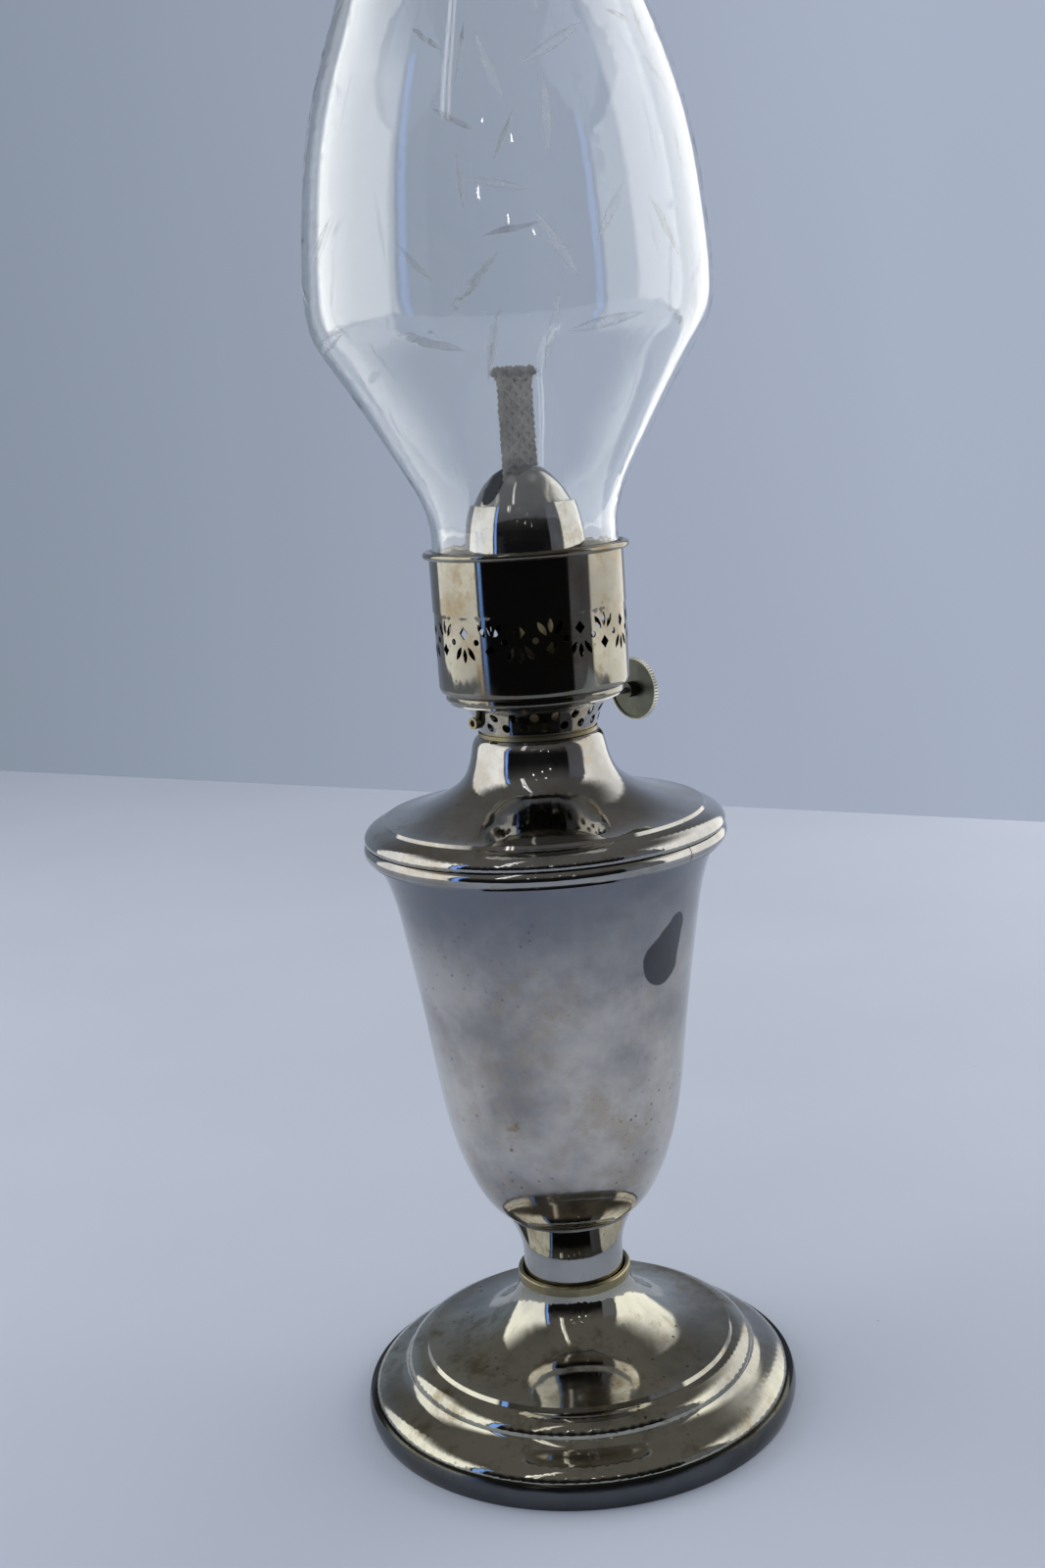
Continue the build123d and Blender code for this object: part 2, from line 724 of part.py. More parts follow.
def main():
    nodes = {
        "foot_shell": foot_shell(),
        "foot_rim_band": foot_rim_band(),
        "foot_collar_ring": foot_collar_ring(),
        "stem_spool": stem_spool(),
        "stem_plug": stem_plug(),
        "tie_washer": tie_washer(),
        "tie_nut": tie_nut(),
        "urn_shell": urn_shell(),
        "rim_wire": rim_wire(),
        "shoulder_cover": shoulder_cover(),
        "font_collar": font_collar(),
        "burner_thread_ring": burner_thread_ring(),
        "burner_floor": burner_floor(),
        "burner_basket": burner_basket(),
        "gallery_cup": gallery_cup(),
        "air_plate": air_plate(),
        "dome": dome(),
        "wick_tube": wick_tube(),
        "spindle_bracket": spindle_bracket(),
        "spindle_bush_wheel_side": spindle_bush(1),
        "spindle_bush_far_side": spindle_bush(-1),
        "wick_spindle": wick_spindle(),
        "thumb_wheel": thumb_wheel(),
        "wick": wick(),
        "chimney": chimney(),
    }
    for number in range(sprocket_count):
        nodes[f"wick_sprocket_{number + 1}"] = wick_sprocket(number)
    os.makedirs("parts", exist_ok=True)
    for name, shape in nodes.items():
        export_step(shape, f"parts/{name}.step")
        print(name, round(shape.volume, 1), "mm3")


main()
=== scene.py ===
import json
import math

import bmesh
import bpy
import numpy as np
from mathutils import Matrix, Vector

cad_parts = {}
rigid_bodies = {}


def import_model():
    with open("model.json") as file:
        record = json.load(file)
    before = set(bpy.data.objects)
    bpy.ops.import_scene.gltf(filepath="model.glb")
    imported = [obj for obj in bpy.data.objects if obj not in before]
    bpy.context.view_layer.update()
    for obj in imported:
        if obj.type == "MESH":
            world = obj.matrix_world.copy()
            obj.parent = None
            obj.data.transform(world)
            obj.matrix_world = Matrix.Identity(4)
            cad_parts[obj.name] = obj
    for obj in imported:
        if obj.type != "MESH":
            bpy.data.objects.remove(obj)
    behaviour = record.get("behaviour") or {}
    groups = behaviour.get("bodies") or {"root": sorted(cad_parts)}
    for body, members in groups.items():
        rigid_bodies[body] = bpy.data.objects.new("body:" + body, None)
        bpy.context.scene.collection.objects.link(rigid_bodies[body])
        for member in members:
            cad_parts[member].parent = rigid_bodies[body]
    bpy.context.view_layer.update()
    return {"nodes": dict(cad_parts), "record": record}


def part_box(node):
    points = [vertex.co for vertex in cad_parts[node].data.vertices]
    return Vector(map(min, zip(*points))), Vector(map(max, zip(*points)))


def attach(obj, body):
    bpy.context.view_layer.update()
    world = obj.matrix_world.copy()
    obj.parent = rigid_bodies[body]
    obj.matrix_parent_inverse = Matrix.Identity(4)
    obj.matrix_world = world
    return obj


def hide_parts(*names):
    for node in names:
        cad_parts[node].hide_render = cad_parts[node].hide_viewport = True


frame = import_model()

scene = bpy.context.scene
mm = 0.001
bodyOf = {node: body for body, nodes in frame["record"]["behaviour"]["bodies"].items() for node in nodes}

wheelAxis = next(j["pos_m"] for j in frame["record"]["behaviour"]["joints"] if j["name"] == "thumb_wheel_turn")
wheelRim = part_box("thumb_wheel")[1].z - wheelAxis[2]

cameraValues = {
    "heading": 42.0,  # degrees from +Y towards +X
    "down": 11.57,
    "roll": 4.01,
    "distance": 608 * mm,
    "left": 6.5 * mm,
    "height": 351 * mm,
    "sensor": 36.0,
    "lens": 41.715,
}


def makeCamera():
    v = cameraValues
    turn, down, roll = (math.radians(v[k]) for k in ("heading", "down", "roll"))
    ahead = Vector((math.sin(turn), math.cos(turn), 0))
    right = Vector((math.cos(turn), -math.sin(turn), 0))
    view = ahead * math.cos(down) - Vector((0, 0, math.sin(down)))
    up = right.cross(view)
    side = right * math.cos(roll) - up * math.sin(roll)
    top = up * math.cos(roll) + right * math.sin(roll)
    place = -ahead * v["distance"] - right * v["left"] + Vector((0, 0, v["height"]))
    data = bpy.data.cameras.new("camera")
    data.sensor_width, data.lens = v["sensor"], v["lens"]
    camera = bpy.data.objects.new("camera", data)
    scene.collection.objects.link(camera)
    camera.matrix_world = Matrix((side, top, -view)).transposed().to_4x4()
    camera.location = place
    scene.camera = camera
    return ahead, right


# shader tools
class Wire:  # wraps a value socket, so that shader maths reads as an expression
    def __init__(self, shader, socket):
        self.shader, self.socket = shader, socket

    def math(self, operation, first, second):
        return self.shader.node("ShaderNodeMath", {"operation": operation}, [first, second])

    def __add__(self, other):
        return self.math("ADD", self, other)

    def __radd__(self, other):
        return self.math("ADD", other, self)

    def __sub__(self, other):
        return self.math("SUBTRACT", self, other)

    def __rsub__(self, other):
        return self.math("SUBTRACT", other, self)

    def __mul__(self, other):
        return self.math("MULTIPLY", self, other)

    def __truediv__(self, other):
        return self.math("DIVIDE", self, other)

    def __pow__(self, other):
        return self.math("POWER", self, other)

    def step(self, low, high):  # 0 below low, 1 above high, smooth between
        settings = {"interpolation_type": "SMOOTHSTEP"}
        return self.shader.node("ShaderNodeMapRange", settings, [self, low, high, 0.0, 1.0])

    def max(self, other):
        return self.math("MAXIMUM", self, other)

    def min(self, other):
        return self.math("MINIMUM", self, other)


class Shader:
    def __init__(self, tree):
        self.tree = tree
        tree.nodes.clear()

    def node(self, kind, settings=None, inputs=(), out=0):
        made = self.tree.nodes.new(kind)
        for name, value in (settings or {}).items():
            setattr(made, name, value)
        pairs = inputs.items() if isinstance(inputs, dict) else enumerate(inputs)
        for name, value in pairs:
            if isinstance(value, Wire):
                self.tree.links.new(value.socket, made.inputs[name])
            elif isinstance(value, tuple) and made.inputs[name].type == "RGBA":
                made.inputs[name].default_value = (*value[:3], 1)
            else:
                made.inputs[name].default_value = value
        return Wire(self, made.outputs[out]) if made.outputs else made

    def place(self):
        return self.node("ShaderNodeTexCoord", out=3)

    def noise(self, scale, detail=4.0, rough=0.55, stretch=None, offset=(0, 0, 0)):
        where = self.place()
        if stretch or offset != (0, 0, 0):
            where = self.node("ShaderNodeMapping", {}, {0: where, 1: offset, 3: stretch or (1, 1, 1)})
        values = {"Vector": where, "Scale": scale, "Detail": detail, "Roughness": rough}
        return self.node("ShaderNodeTexNoise", {}, values)

    def spots(self, scale, size, offset=(0, 0, 0)):
        where = self.node("ShaderNodeMapping", {}, {0: self.place(), 1: offset})
        cells = self.node("ShaderNodeTexVoronoi", {}, {"Vector": where, "Scale": scale})
        return 1 - cells.step(size * 0.4, size)

    def mix(self, factor, first, second):
        made = self.tree.nodes.new("ShaderNodeMix")
        made.data_type = "RGBA"
        for name, value in ((0, factor), (6, first), (7, second)):
            if isinstance(value, Wire):
                self.tree.links.new(value.socket, made.inputs[name])
            elif name:
                made.inputs[name].default_value = (*value, 1)
            else:
                made.inputs[name].default_value = value
        return Wire(self, made.outputs[2])

    def bump(self, height, strength, distance):
        return self.node("ShaderNodeBump", {}, {"Height": height, "Strength": strength, "Distance": distance})


def newMaterial(name):
    material = bpy.data.materials.new(name)
    material.use_nodes = True
    return material, Shader(material.node_tree)


def closeMaterial(shader, values):
    surface = shader.node("ShaderNodeBsdfPrincipled", {}, values)
    shader.node("ShaderNodeOutputMaterial", {}, {0: surface})


plateValues = {
    "foot": {
        "clean": (0.43, 0.42, 0.345), "dull": (0.25, 0.245, 0.225), "patina": (0.20, 0.165, 0.10),
        "pit": (0.04, 0.035, 0.025), "patinaAmount": 0.8, "pitAmount": 0.8, "gloss": 0.035, "haze": 0.07,
    },
    "trim": {
        "clean": (0.42, 0.415, 0.395), "dull": (0.27, 0.265, 0.255), "patina": (0.27, 0.225, 0.15),
        "pit": (0.06, 0.05, 0.04), "patinaAmount": 0.55, "pitAmount": 0.5, "gloss": 0.025, "haze": 0.05,
    },
    "urn": {
        "clean": (0.63, 0.595, 0.54), "dull": (0.33, 0.315, 0.305), "patina": (0.47, 0.385, 0.27),
        "pit": (0.15, 0.10, 0.07), "patinaAmount": 0.5, "pitAmount": 0.7, "gloss": 0.04, "haze": 0.05,
    },
    "burner": {
        "clean": (0.27, 0.26, 0.215), "dull": (0.18, 0.17, 0.145), "patina": (0.17, 0.125, 0.065),
        "pit": (0.05, 0.04, 0.03), "patinaAmount": 0.7, "pitAmount": 0.45, "gloss": 0.025, "haze": 0.05,
    },
    "brass": {
        "clean": (0.30, 0.26, 0.15), "dull": (0.18, 0.16, 0.11), "patina": (0.15, 0.12, 0.06),
        "pit": (0.05, 0.04, 0.03), "patinaAmount": 0.6, "pitAmount": 0.7, "gloss": 0.24, "haze": 0.2,
    },
    # painted reflection: the band's near-black colour stands in for the dark surroundings that the plated band
    # reflects
    "band": {
        "clean": (0.105, 0.11, 0.115), "dull": (0.065, 0.07, 0.075), "patina": (0.12, 0.10, 0.06),
        "pit": (0.03, 0.03, 0.025), "patinaAmount": 0.5, "pitAmount": 0.6, "gloss": 0.14, "haze": 0.16,
    },
    "wheel": {
        "clean": (0.125, 0.130, 0.105), "dull": (0.070, 0.075, 0.062), "patina": (0.15, 0.14, 0.09),
        "pit": (0.03, 0.03, 0.025), "patinaAmount": 0.4, "pitAmount": 0.5, "gloss": 0.34, "haze": 0.12,
        "rim": (0.55, 0.55, 0.48),
    },
}
urnMarks = {
    "stainLow": (-86.5, 172 * mm),  # degrees from +X and height: the middle of the stain's round end
    "stainTip": (-79.5, 182 * mm),
    "stainRadii": (9.2 * mm, 4.4 * mm),
    "stainColour": (0.060, 0.063, 0.070),
    "stainRough": 0.3,
    "spot": (-156.6, 118 * mm),
    "spotRadius": 5 * mm,
    "spotColour": (0.30, 0.20, 0.07),
    "wallRadius": 51 * mm,
    "shade": (148 * mm, 205 * mm),  # heights between which the wall turns darker and bluer: painted shade under the rim
    "paintedShadeColour": (0.15, 0.165, 0.20),
    "freckles": (80 * mm, 150 * mm),
    "freckleColour": (0.16, 0.11, 0.08),
}


def wallMark(shader, mark, wallRadius):
    place = shader.place()
    x, y, z = (shader.node("ShaderNodeSeparateXYZ", {}, [place], out=k) for k in range(3))
    middle = math.radians(mark[0])
    towards = x * math.cos(middle) + y * math.sin(middle)
    aside = y * math.cos(middle) - x * math.sin(middle)
    return aside.math("ARCTAN2", aside, towards) * wallRadius, z - mark[1]


def addUrnMarks(shader, colour, rough):
    v = urnMarks
    across, height = wallMark(shader, v["stainLow"], v["wallRadius"])
    tipAcross = math.radians(v["stainTip"][0] - v["stainLow"][0]) * v["wallRadius"]
    tipHeight = v["stainTip"][1] - v["stainLow"][1]
    length = math.hypot(tipAcross, tipHeight)
    along = (across * (tipAcross / length) + height * (tipHeight / length)) / length
    aside = across * (tipHeight / length) - height * (tipAcross / length)
    part = along.max(0.0).min(1.0)
    reach = (((along - part) * length) ** 2 + aside**2) ** 0.5
    wide, narrow = v["stainRadii"]
    ragged = (shader.noise(210, 3) - 0.5) * 1.4 * mm
    stain = 1 - (reach + part * (wide - narrow) + ragged).step(wide - 0.4 * mm, wide + 0.3 * mm)
    across, height = wallMark(shader, v["spot"], v["wallRadius"])
    near = 1 - ((across**2 + height**2) ** 0.5).step(v["spotRadius"] * 0.2, v["spotRadius"])
    spot = near * shader.noise(330, 4, 0.7).step(0.42, 0.62)
    z = shader.node("ShaderNodeSeparateXYZ", {}, [shader.place()], out=2)
    low, high = v["freckles"]
    band = z.step(low, low + 10 * mm) * (1 - z.step(high - 30 * mm, high))
    freckle = shader.spots(190, 0.17, (0.4, 0.3, 0.7)) * band * shader.noise(40, 2).step(0.46, 0.6)
    uneven = shader.noise(26, 4, 0.6, offset=(0.5, 0.2, 0.9)) - 0.5
    # painted shade: the wall is painted darker and bluer towards the top, under the rim
    colour = shader.mix((z + uneven * 30 * mm).step(*v["shade"]) * 0.85, colour, v["paintedShadeColour"])
    colour = shader.mix(spot * 0.85, colour, v["spotColour"])
    colour = shader.mix(freckle * 0.7, colour, v["freckleColour"])
    return shader.mix(stain * 0.9, colour, v["stainColour"]), rough + stain * v["stainRough"]


def plateMaterial(kind):
    v = plateValues[kind]
    material, shader = newMaterial(kind + "Plate")
    cloudy = shader.noise(22, 6, 0.62)
    blotch = shader.noise(46, 8, 0.68, offset=(0.31, 0.12, 0.55))
    mottle = shader.noise(170, 6, 0.72, offset=(0.12, 0.63, 0.27))
    grain = shader.noise(420, 3, 0.6)
    wear = shader.noise(9, 3, 0.5, offset=(0.7, 0.2, 0.4))
    dull = cloudy.step(0.38, 0.68)
    patina = (blotch * 0.5 + wear * 0.2 + mottle * 0.3).step(0.49, 0.60) * v["patinaAmount"]
    sparse = shader.noise(30, 2, 0.5, offset=(0.9, 0.5, 0.1)).step(0.50, 0.66)
    fine = shader.spots(620, 0.22, (0.2, 0.6, 0.3)) * blotch.step(0.54, 0.7)
    specks = (shader.spots(260, 0.20) * sparse).max(fine)
    pits = specks * v["pitAmount"]
    colour = shader.mix(dull, v["clean"], v["dull"])
    colour = shader.mix(patina, colour, v["patina"])
    colour = shader.mix(pits, colour, v["pit"])
    rough = v["gloss"] + dull * v["haze"] + patina * 0.08 + pits * 0.3 + grain * 0.02
    if kind == "urn":
        colour, rough = addUrnMarks(shader, colour, rough)
    if kind == "wheel":
        x, y, z = (shader.node("ShaderNodeSeparateXYZ", {}, [shader.place()], out=k) for k in range(3))
        fromAxis = ((y - wheelAxis[1]) ** 2 + (z - wheelAxis[2]) ** 2) ** 0.5
        colour = shader.mix(fromAxis.step(wheelRim - 0.7 * mm, wheelRim), colour, v["rim"])
    scratches = shader.noise(900, 2, 0.5, stretch=(1, 1, 0.06))
    relief = cloudy * 0.5 + grain * 0.1 + scratches * 0.1 - specks * 0.4
    closeMaterial(shader, {
        "Base Color": colour,
        "Metallic": 1.0,
        "Roughness": rough,
        "Normal": shader.bump(relief, 0.06, 0.0003),
    })
    return material


def steelMaterial():
    material, shader = newMaterial("dullSteel")
    rust = shader.noise(180, 5, 0.6).step(0.5, 0.7)
    colour = shader.mix(rust * 0.7, (0.36, 0.35, 0.33), (0.16, 0.10, 0.06))
    closeMaterial(shader, {"Base Color": colour, "Metallic": 1.0, "Roughness": 0.32 + rust * 0.3})
    return material


def glassMaterial():
    material, shader = newMaterial("clearGlass")
    waves = shader.noise(14, 2, 0.5, stretch=(1, 1, 0.4))
    closeMaterial(shader, {
        "Base Color": (0.985, 0.995, 0.99),
        "Roughness": 0.0,
        "IOR": 1.5,
        "Transmission Weight": 1.0,
        "Normal": shader.bump(waves, 0.25, 0.0006),
    })
    return material


def frostMaterial():
    material, shader = newMaterial("wheelCutFrost")
    grain = shader.noise(1600, 3, 0.6)
    streak = shader.noise(260, 3, 0.6)
    closeMaterial(shader, {
        "Base Color": shader.mix(streak, (0.78, 0.82, 0.86), (0.95, 0.97, 0.98)),
        "Roughness": 0.6 + grain * 0.2,
        "Alpha": 0.15 + streak.step(0.35, 0.7) * 0.17,
        "Normal": shader.bump(grain, 0.4, 0.0002),
    })
    return material


def cottonMaterial():
    material, shader = newMaterial("wickCotton")
    soil = shader.noise(120, 4, 0.6)
    fibre = shader.noise(2600, 3, 0.6, stretch=(1, 1, 0.35))
    colour = shader.mix(soil.step(0.35, 0.7), (0.56, 0.50, 0.42), (0.36, 0.32, 0.265))
    colour = shader.mix(fibre.step(0.5, 0.75) * 0.6, colour, (0.68, 0.64, 0.56))
    closeMaterial(shader, {
        "Base Color": colour,
        "Roughness": 0.95,
        "Sheen Weight": 0.3,
        "Normal": shader.bump(fibre, 0.5, 0.0003),
    })
    return material


print("stage 1: camera and materials")
ahead, right = makeCamera()
materials = {kind: plateMaterial(kind) for kind in plateValues}
materials["steel"] = steelMaterial()
materials["glass"] = glassMaterial()
materials["frost"] = frostMaterial()
materials["cotton"] = cottonMaterial()

ownFinish = {
    "shoulder_cover": "trim", "rim_wire": "trim", "stem_spool": "trim", "dome": "trim", "burner_basket": "trim",
    "thumb_wheel": "wheel", "foot_rim_band": "band", "foot_collar_ring": "brass",
}
finishOf = {
    "foot_plate": "foot", "urn_plate": "urn", "burner_plate": "burner", "bare_brass": "brass",
    "steel": "steel", "wick_cotton": "cotton", "clear_glass": "glass",
}
slotOf = {part["node"]: part["material_slot"] for part in frame["record"]["subparts"]}
materialOf = {node: materials[ownFinish.get(node, finishOf[slot])] for node, slot in slotOf.items()}


# turned metal and glass: merged copies of the frame's meshes with the normals that a turned surface has
def turnedNormals(mesh, crease):
    count, corners = len(mesh.polygons), len(mesh.loops)
    places = np.empty(len(mesh.vertices) * 3)
    mesh.vertices.foreach_get("co", places)
    places = places.reshape(-1, 3)
    vertexOf = np.empty(corners, int)
    mesh.loops.foreach_get("vertex_index", vertexOf)
    normals, centres, areas = np.empty(count * 3), np.empty(count * 3), np.empty(count)
    mesh.polygons.foreach_get("normal", normals)
    mesh.polygons.foreach_get("center", centres)
    mesh.polygons.foreach_get("area", areas)
    normals, centres = normals.reshape(-1, 3), centres.reshape(-1, 3)
    faceOf = np.repeat(np.arange(count), 3)
    here, middle = places[vertexOf], centres[faceOf]
    turn = np.arctan2(here[:, 1], here[:, 0]) - np.arctan2(middle[:, 1], middle[:, 0])
    turn[np.hypot(here[:, 0], here[:, 1]) < 1e-6] = 0
    flat = normals[faceOf]
    cos, sin = np.cos(turn), np.sin(turn)
    own = np.stack([flat[:, 0] * cos - flat[:, 1] * sin, flat[:, 0] * sin + flat[:, 1] * cos, flat[:, 2]], 1)
    weight = areas[faceOf][:, None]
    order = np.argsort(vertexOf, kind="stable")
    starts = np.searchsorted(vertexOf[order], np.arange(len(places) + 1))
    result = own.copy()
    limit = math.cos(math.radians(crease))
    for vertex in range(len(places)):
        around = order[starts[vertex] : starts[vertex + 1]]
        mine = own[around]
        close = (mine @ mine.T) > limit
        result[around] = close @ (mine * weight[around])
    length = np.linalg.norm(result, axis=1, keepdims=True)
    return result / np.maximum(length, 1e-12)


def finishedCopy(node, crease):
    mesh = frame["nodes"][node].data.copy()
    work = bmesh.new()
    work.from_mesh(mesh)
    bmesh.ops.remove_doubles(work, verts=work.verts, dist=1e-6)
    bmesh.ops.triangulate(work, faces=work.faces)
    work.to_mesh(mesh)
    work.free()
    mesh.polygons.foreach_set("use_smooth", [True] * len(mesh.polygons))
    mesh.normals_split_custom_set(turnedNormals(mesh, crease).tolist())
    mesh.materials.clear()
    mesh.materials.append(materialOf[node])
    piece = bpy.data.objects.new(node + "_finished", mesh)
    scene.collection.objects.link(piece)
    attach(piece, bodyOf[node])
    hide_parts(node)
    return piece


print("stage 2: metal and glass")
usualCrease = 28  # degrees between faces, above which an edge stays sharp
creaseOf = {"dome": 8}
turnedNodes = [
    "foot_shell", "foot_rim_band", "foot_collar_ring", "stem_spool", "urn_shell", "rim_wire", "shoulder_cover",
    "font_collar", "burner_basket", "gallery_cup", "air_plate", "dome", "chimney",
]
for node in turnedNodes:
    finishedCopy(node, creaseOf.get(node, usualCrease))
for node, thing in frame["nodes"].items():
    if node not in turnedNodes:
        thing.data.materials.clear()
        thing.data.materials.append(materialOf[node])


# geometry nodes tools
class Tree:
    def __init__(self, name, inputs):
        self.tree = bpy.data.node_groups.new(name, "GeometryNodeTree")
        face = self.tree.interface
        face.new_socket("Geometry", in_out="INPUT", socket_type="NodeSocketGeometry")
        face.new_socket("Geometry", in_out="OUTPUT", socket_type="NodeSocketGeometry")
        self.ids = {}
        for label, (kind, value) in inputs.items():
            socket = face.new_socket(label, in_out="INPUT", socket_type="NodeSocket" + kind)
            if value is not None:
                socket.default_value = value
            self.ids[label] = socket.identifier
        self.start = self.tree.nodes.new("NodeGroupInput")
        self.end = self.tree.nodes.new("NodeGroupOutput")

    def entry(self, label):
        return self.start.outputs[label]

    def node(self, kind, settings=None, inputs=(), out=0):
        made = self.tree.nodes.new(kind)
        for name, value in (settings or {}).items():
            setattr(made, name, value)
        pairs = inputs.items() if isinstance(inputs, dict) else enumerate(inputs)
        for name, value in pairs:
            if isinstance(value, bpy.types.NodeSocket):
                self.tree.links.new(value, made.inputs[name])
            else:
                made.inputs[name].default_value = value
        return made.outputs[out]

    def math(self, operation, *values):
        return self.node("ShaderNodeMath", {"operation": operation}, values)

    def finish(self, geometry, material):
        real = self.node("GeometryNodeRealizeInstances", {}, [geometry])
        dressed = self.node("GeometryNodeSetMaterial", {}, {0: real, 2: material})
        self.tree.links.new(dressed, self.end.inputs[0])

    def run(self, holder, name, values):
        thing = bpy.data.objects.new(name, holder)
        scene.collection.objects.link(thing)
        modifier = thing.modifiers.new(name, "NODES")
        modifier.node_group = self.tree
        for label, value in values.items():
            modifier[self.ids[label]] = value
        bpy.context.view_layer.update()
        made = bpy.data.meshes.new_from_object(thing.evaluated_get(bpy.context.evaluated_depsgraph_get()))
        thing.modifiers.remove(modifier)
        thing.data = made
        return thing


# the wick: plaited strands round a flat core, fanned out and frayed at the top
wickValues = {
    "strands": 12,
    "steps": 420,
    "plaitPitch": 26 * mm,  # height of one whole turn of a strand
    "strandRadius": 1.08 * mm,
    "flare": 0.24,
    "flareDepth": 1.3,
    "flareHeight": 6.5 * mm,
    "ripple": 0.28 * mm,
    "wobble": 1.2 * mm,
    "wobbleScale": 260.0,
    "flatness": 3.2,  # how sharply a strand turns over at the wick's edge
    "strandSides": 6,
    "fibres": 220,
    "fibreLength": 3.2 * mm,
    "fibreWidth": 0.11 * mm,
    "fibreStart": 2.4 * mm,  # below the wick's top
    "fibreRings": 4,
    "coreBelow": 3.2 * mm,  # the flat core ends below the open, frayed top
    "seed": 7,
}


def wickTree():
    v = wickValues
    tree = Tree("plaitedWick", {
        "Strands": ("Int", 20), "Steps": ("Int", 200), "Length": ("Float", 0.2), "Half Width": ("Float", 0.008),
        "Half Depth": ("Float", 0.001), "Pitch": ("Float", 0.03), "Strand Radius": ("Float", 0.0006),
        "Flare": ("Float", 0.2), "Flare Depth": ("Float", 1.0), "Flare Height": ("Float", 0.007),
        "Ripple": ("Float", 0.0001), "Wobble": ("Float", 0.001), "Wobble Scale": ("Float", 200.0),
        "Material": ("Material", None),
    })
    m = tree.math
    strands = tree.entry("Strands")
    points = tree.node("GeometryNodeMeshLine", {}, {"Count": strands, "Offset": (0, 0, 0)})
    rank = tree.node("GeometryNodeInputIndex")
    points = tree.node("GeometryNodeStoreNamedAttribute", {"data_type": "FLOAT"}, {
        0: points, "Name": "strand", "Value": rank,
    })
    top = tree.node("ShaderNodeCombineXYZ", {}, {2: tree.entry("Length")})
    line = tree.node("GeometryNodeCurvePrimitiveLine", {}, {"End": top})
    line = tree.node("GeometryNodeResampleCurve", {}, {"Curve": line, "Count": tree.entry("Steps")})
    copies = tree.node("GeometryNodeInstanceOnPoints", {}, {"Points": points, "Instance": line})
    curves = tree.node("GeometryNodeRealizeInstances", {}, [copies])
    strand = tree.node("GeometryNodeInputNamedAttribute", {"data_type": "FLOAT"}, {"Name": "strand"})
    height = tree.node("ShaderNodeSeparateXYZ", {}, [tree.node("GeometryNodeInputPosition")], out=2)
    side = m("SUBTRACT", m("MULTIPLY", m("MODULO", strand, 2.0), 2.0), 1.0)  # -1 or 1: the way round
    way = m("ADD", m("DIVIDE", strand, strands), m("MULTIPLY", side, m("DIVIDE", height, tree.entry("Pitch"))))
    angle = m("MULTIPLY", way, 2 * math.pi)
    across = m("DIVIDE", m("ARCSINE", m("MULTIPLY", m("SINE", angle), 0.999)), math.pi / 2)
    face = m("TANH", m("MULTIPLY", m("COSINE", angle), v["flatness"]))
    crossing = m("MULTIPLY", m("MULTIPLY", height, strands), 2 * math.pi)
    crossing = m("DIVIDE", crossing, tree.entry("Pitch"))
    weave = m("MULTIPLY", m("SINE", m("ADD", crossing, m("MULTIPLY", strand, math.pi))), tree.entry("Ripple"))
    left = m("SUBTRACT", tree.entry("Length"), height)
    open_ = m("SUBTRACT", 1.0, m("MINIMUM", m("DIVIDE", left, tree.entry("Flare Height")), 1.0))
    spread = m("ADD", 1.0, m("MULTIPLY", m("MULTIPLY", open_, open_), tree.entry("Flare")))
    wobble = tree.node("ShaderNodeTexNoise", {"noise_dimensions": "4D"}, {
        "W": strand, "Scale": tree.entry("Wobble Scale"), "Detail": 2.0,
    })
    wobble = m("MULTIPLY", m("SUBTRACT", wobble, 0.5), tree.entry("Wobble"))
    x = m("ADD", m("MULTIPLY", m("MULTIPLY", across, tree.entry("Half Width")), spread), wobble)
    depth = m("ADD", tree.entry("Half Depth"), weave)
    deeper = m("ADD", 1.0, m("MULTIPLY", m("MULTIPLY", open_, open_), tree.entry("Flare Depth")))
    y = m("MULTIPLY", m("MULTIPLY", face, depth), deeper)
    where = tree.node("ShaderNodeCombineXYZ", {}, [x, y, height])
    curves = tree.node("GeometryNodeSetPosition", {}, {"Geometry": curves, "Position": where})
    ring = tree.node("GeometryNodeCurvePrimitiveCircle", {}, {
        "Resolution": v["strandSides"], "Radius": tree.entry("Strand Radius"),
    })
    tube = tree.node("GeometryNodeCurveToMesh", {}, {"Curve": curves, "Profile Curve": ring, "Fill Caps": True})
    tree.finish(tube, tree.entry("Material"))
    return tree


def wickCore(low, high):  # the flat inside of the plait, which keeps daylight from showing between the strands
    v = wickValues
    high = high - Vector((0, 0, v["coreBelow"]))
    work = bmesh.new()
    middle, half = (low + high) / 2, (high - low) / 2
    inset = v["strandRadius"]
    bmesh.ops.create_cube(work, size=2)
    reach = Vector((half.x - inset * 1.6, half.y - inset * 1.5, half.z - 0.6 * mm))
    for vertex in work.verts:
        vertex.co = Vector(a * b for a, b in zip(vertex.co, reach)) + middle
    bmesh.ops.bevel(work, geom=work.edges, offset=0.4 * mm, segments=2, affect="EDGES")
    return work


